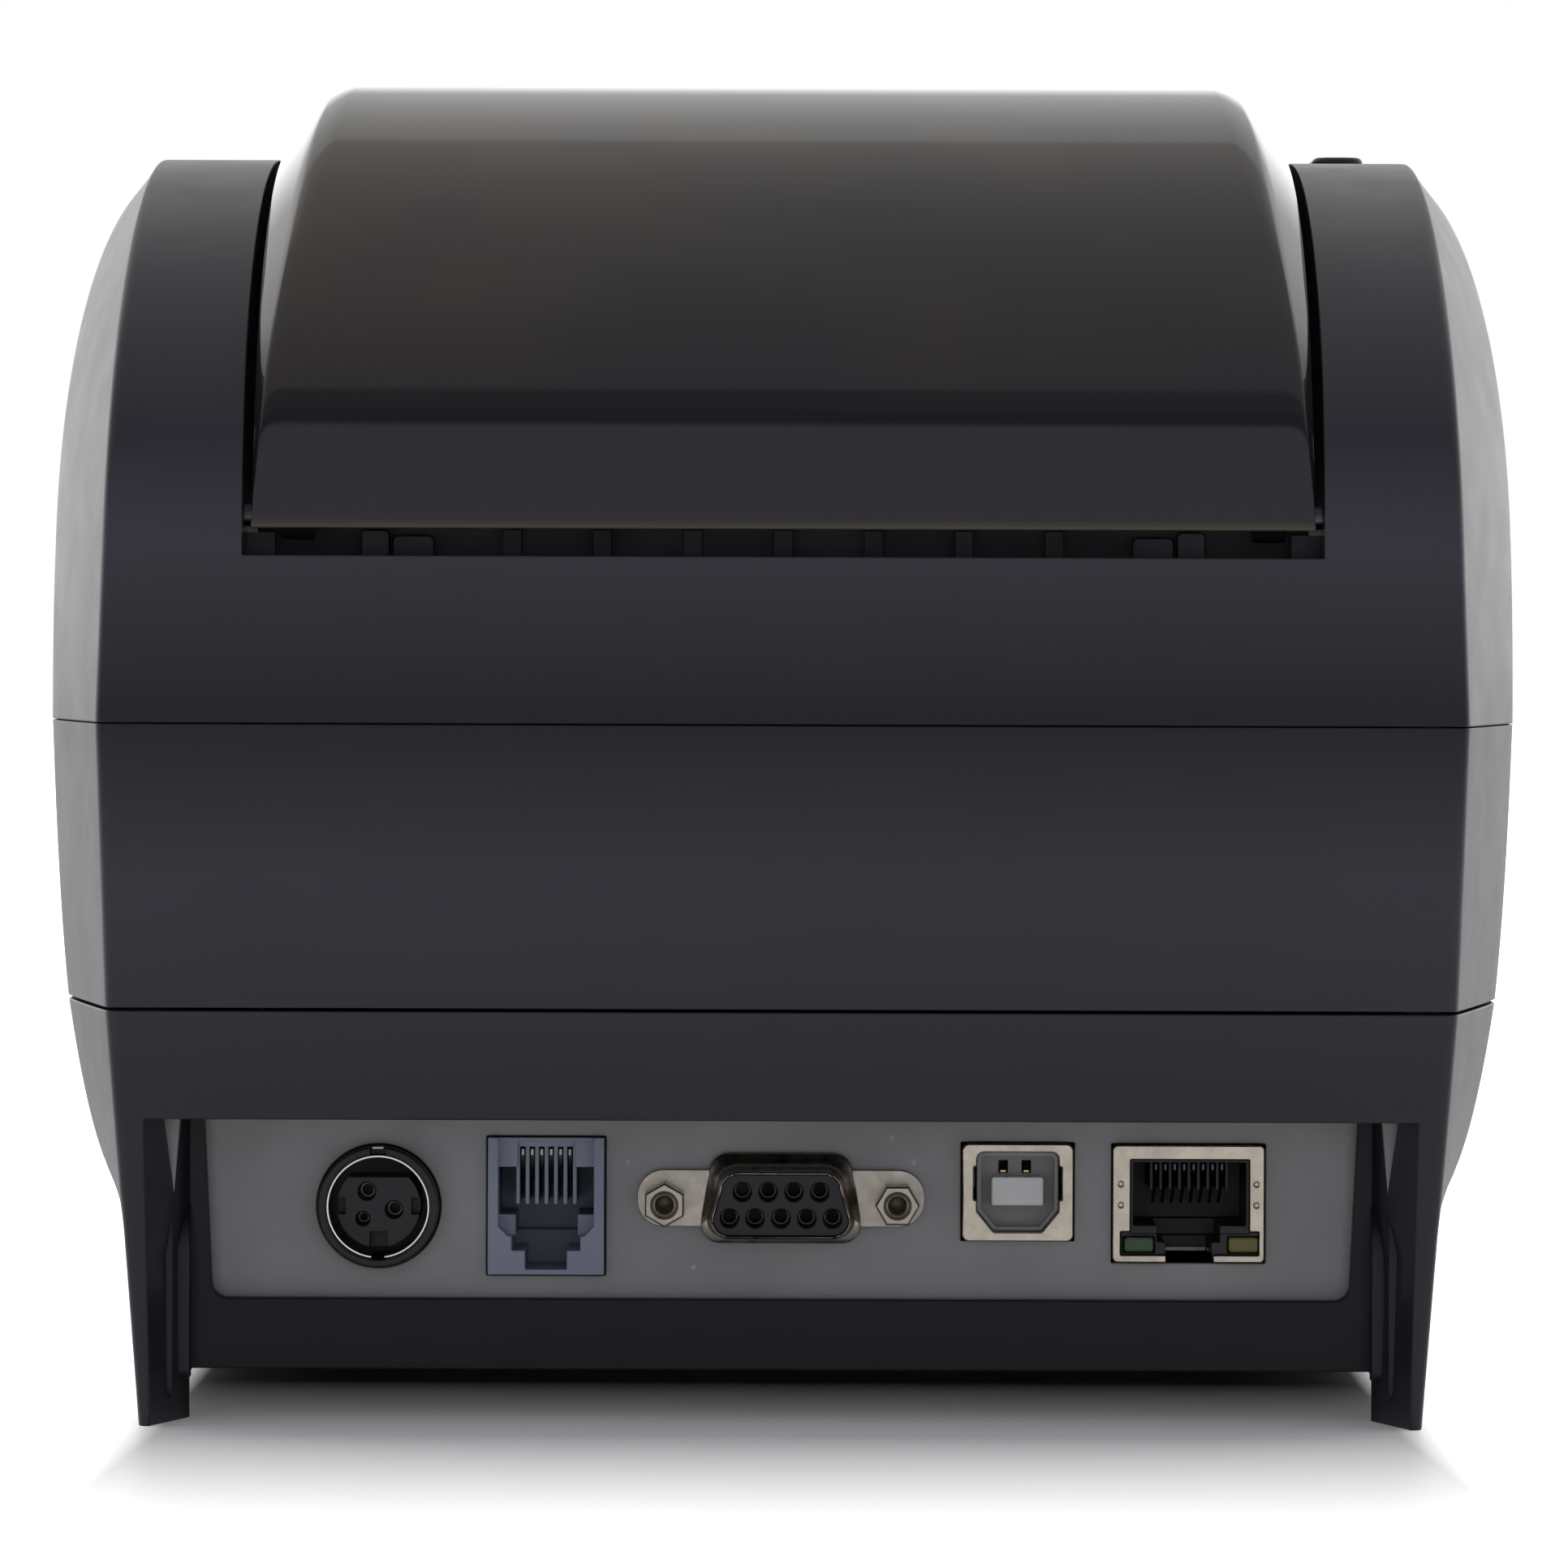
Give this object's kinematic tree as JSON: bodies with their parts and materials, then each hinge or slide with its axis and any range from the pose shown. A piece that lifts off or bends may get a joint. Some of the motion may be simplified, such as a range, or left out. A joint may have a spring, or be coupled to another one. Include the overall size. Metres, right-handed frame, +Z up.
{
  "type": "receipt printer",
  "caption": "Desktop thermal receipt printer with a domed case, hinged smoke lid, roll guides, platen drive and rear sockets.",
  "frame": {"origin": "on the floor, under the middle of the case's box", "axes": "+Z up, +Y towards the rear socket panel, +X to the left as seen from behind"},
  "size_m": [0.1602, 0.215, 0.147],
  "materials": {
    "case": "satin charcoal",
    "smoke": "gloss, smoke translucent",
    "black_plastic": "satin",
    "grey_plate": "satin grey",
    "nickel": "satin nickel",
    "steel": "brushed",
    "blue_grey": "satin",
    "pale_grey": "satin",
    "white_plastic": "satin",
    "rubber": "matte",
    "board": "solder mask",
    "aluminium": "milled",
    "brass": "turned",
    "green_lens": "clear tinted",
    "yellow_lens": "clear tinted"
  },
  "bodies": {
    "root": {"base_tray": "case", "mid_band": "case", "top_shell": "case", "inlet_body": "black_plastic", "inlet_core": "black_plastic", "serial_core": "black_plastic", "network_core": "black_plastic", "paper_chute": "black_plastic", "paper_sensor": "black_plastic", "paper_tub": "black_plastic", "switch_body": "black_plastic", "rear_io_plate": "grey_plate", "inlet_ring": "nickel", "serial_shell": "nickel", "jackscrew_1": "nickel", "jackscrew_2": "nickel", "usb_shell": "nickel", "network_shell": "nickel", "case_screw_1": "steel", "case_screw_2": "steel", "case_screw_3": "steel", "case_screw_4": "steel", "drive_chassis": "steel", "idler_pin": "steel", "stepper_motor": "steel", "tear_bar": "steel", "release_spring": "steel", "modular_socket": "blue_grey", "usb_tongue": "pale_grey", "platen_bush_1": "white_plastic", "platen_bush_2": "white_plastic", "rubber_foot_1": "rubber", "rubber_foot_2": "rubber", "main_board": "board", "key_board": "board", "network_lens_green": "green_lens", "status_lens_1": "green_lens", "status_lens_2": "green_lens", "network_lens_yellow": "yellow_lens"},
    "lid": {"lid_window": "smoke", "lid_frame": "black_plastic", "hinge_pin_1": "steel", "hinge_pin_2": "steel", "head_bracket": "steel", "head_heat_sink": "aluminium", "print_head": "pale_grey", "head_spring_1": "steel", "head_spring_2": "steel"},
    "platen": {"platen_shaft": "steel", "platen_roller": "rubber", "platen_gear": "white_plastic"},
    "idler": {"idler_gear": "white_plastic"},
    "motor_rotor": {"motor_pinion": "brass"},
    "latch": {"latch_bar": "steel"},
    "release": {"release_key": "black_plastic"},
    "feed": {"feed_key": "black_plastic"},
    "guide_left": {"roll_guide_left": "black_plastic"},
    "guide_right": {"roll_guide_right": "black_plastic"},
    "guide_gear": {"guide_pinion": "white_plastic"},
    "rocker": {"power_rocker": "black_plastic"}
  },
  "joints": [
    {"name": "lid_hinge", "type": "hinge", "parent": "root", "child": "lid", "pos_m": [0, 0.1015, 0.097], "axis": [-1, 0, 0], "range_deg": [0, 75]},
    {"name": "platen_spin", "type": "hinge", "parent": "root", "child": "platen", "pos_m": [0, -0.091, 0.086], "axis": [1, 0, 0], "continuous": true},
    {"name": "idler_spin", "type": "hinge", "parent": "root", "child": "idler", "pos_m": [0, -0.07628, 0.07522], "axis": [1, 0, 0], "continuous": true},
    {"name": "motor_spin", "type": "hinge", "parent": "root", "child": "motor_rotor", "pos_m": [0, -0.08, 0.0625], "axis": [1, 0, 0], "continuous": true},
    {"name": "release_press", "type": "slide", "parent": "root", "child": "release", "axis": [0, 0, 1], "range_m": [-0.003, 0], "stiffness_N_per_m": 250, "deforming": ["release_spring"]},
    {"name": "latch_turn", "type": "hinge", "parent": "root", "child": "latch", "pos_m": [0, -0.074, 0.08], "axis": [1, 0, 0], "range_deg": [-3.3, 0]},
    {"name": "feed_press", "type": "slide", "parent": "root", "child": "feed", "axis": [0, 0, 1], "range_m": [-0.0015, 0], "stiffness_N_per_m": 300},
    {"name": "guide_left_slide", "type": "slide", "parent": "root", "child": "guide_left", "axis": [-1, 0, 0], "range_m": [0, 0.026]},
    {"name": "guide_right_slide", "type": "slide", "parent": "root", "child": "guide_right", "axis": [1, 0, 0], "range_m": [0, 0.026]},
    {"name": "guide_pinion_turn", "type": "hinge", "parent": "root", "child": "guide_gear", "pos_m": [0, 0.015, 0.0445], "axis": [0, 0, 1], "range_deg": [0, 250]},
    {"name": "power_rock", "type": "hinge", "parent": "root", "child": "rocker", "pos_m": [0.0735, -0.0565, 0.06], "axis": [0, 0, 1], "range_deg": [-14, 0]}
  ],
  "couplings": [
    {"joint": "idler_spin", "follows": "platen_spin", "ratio": -1.25},
    {"joint": "motor_spin", "follows": "platen_spin", "ratio": 2},
    {"joint": "latch_turn", "follows": "release_press", "rad_per_m": 17.857},
    {"joint": "guide_right_slide", "follows": "guide_left_slide", "ratio": 1},
    {"joint": "guide_pinion_turn", "follows": "guide_left_slide", "rad_per_m": 166.67}
  ]
}
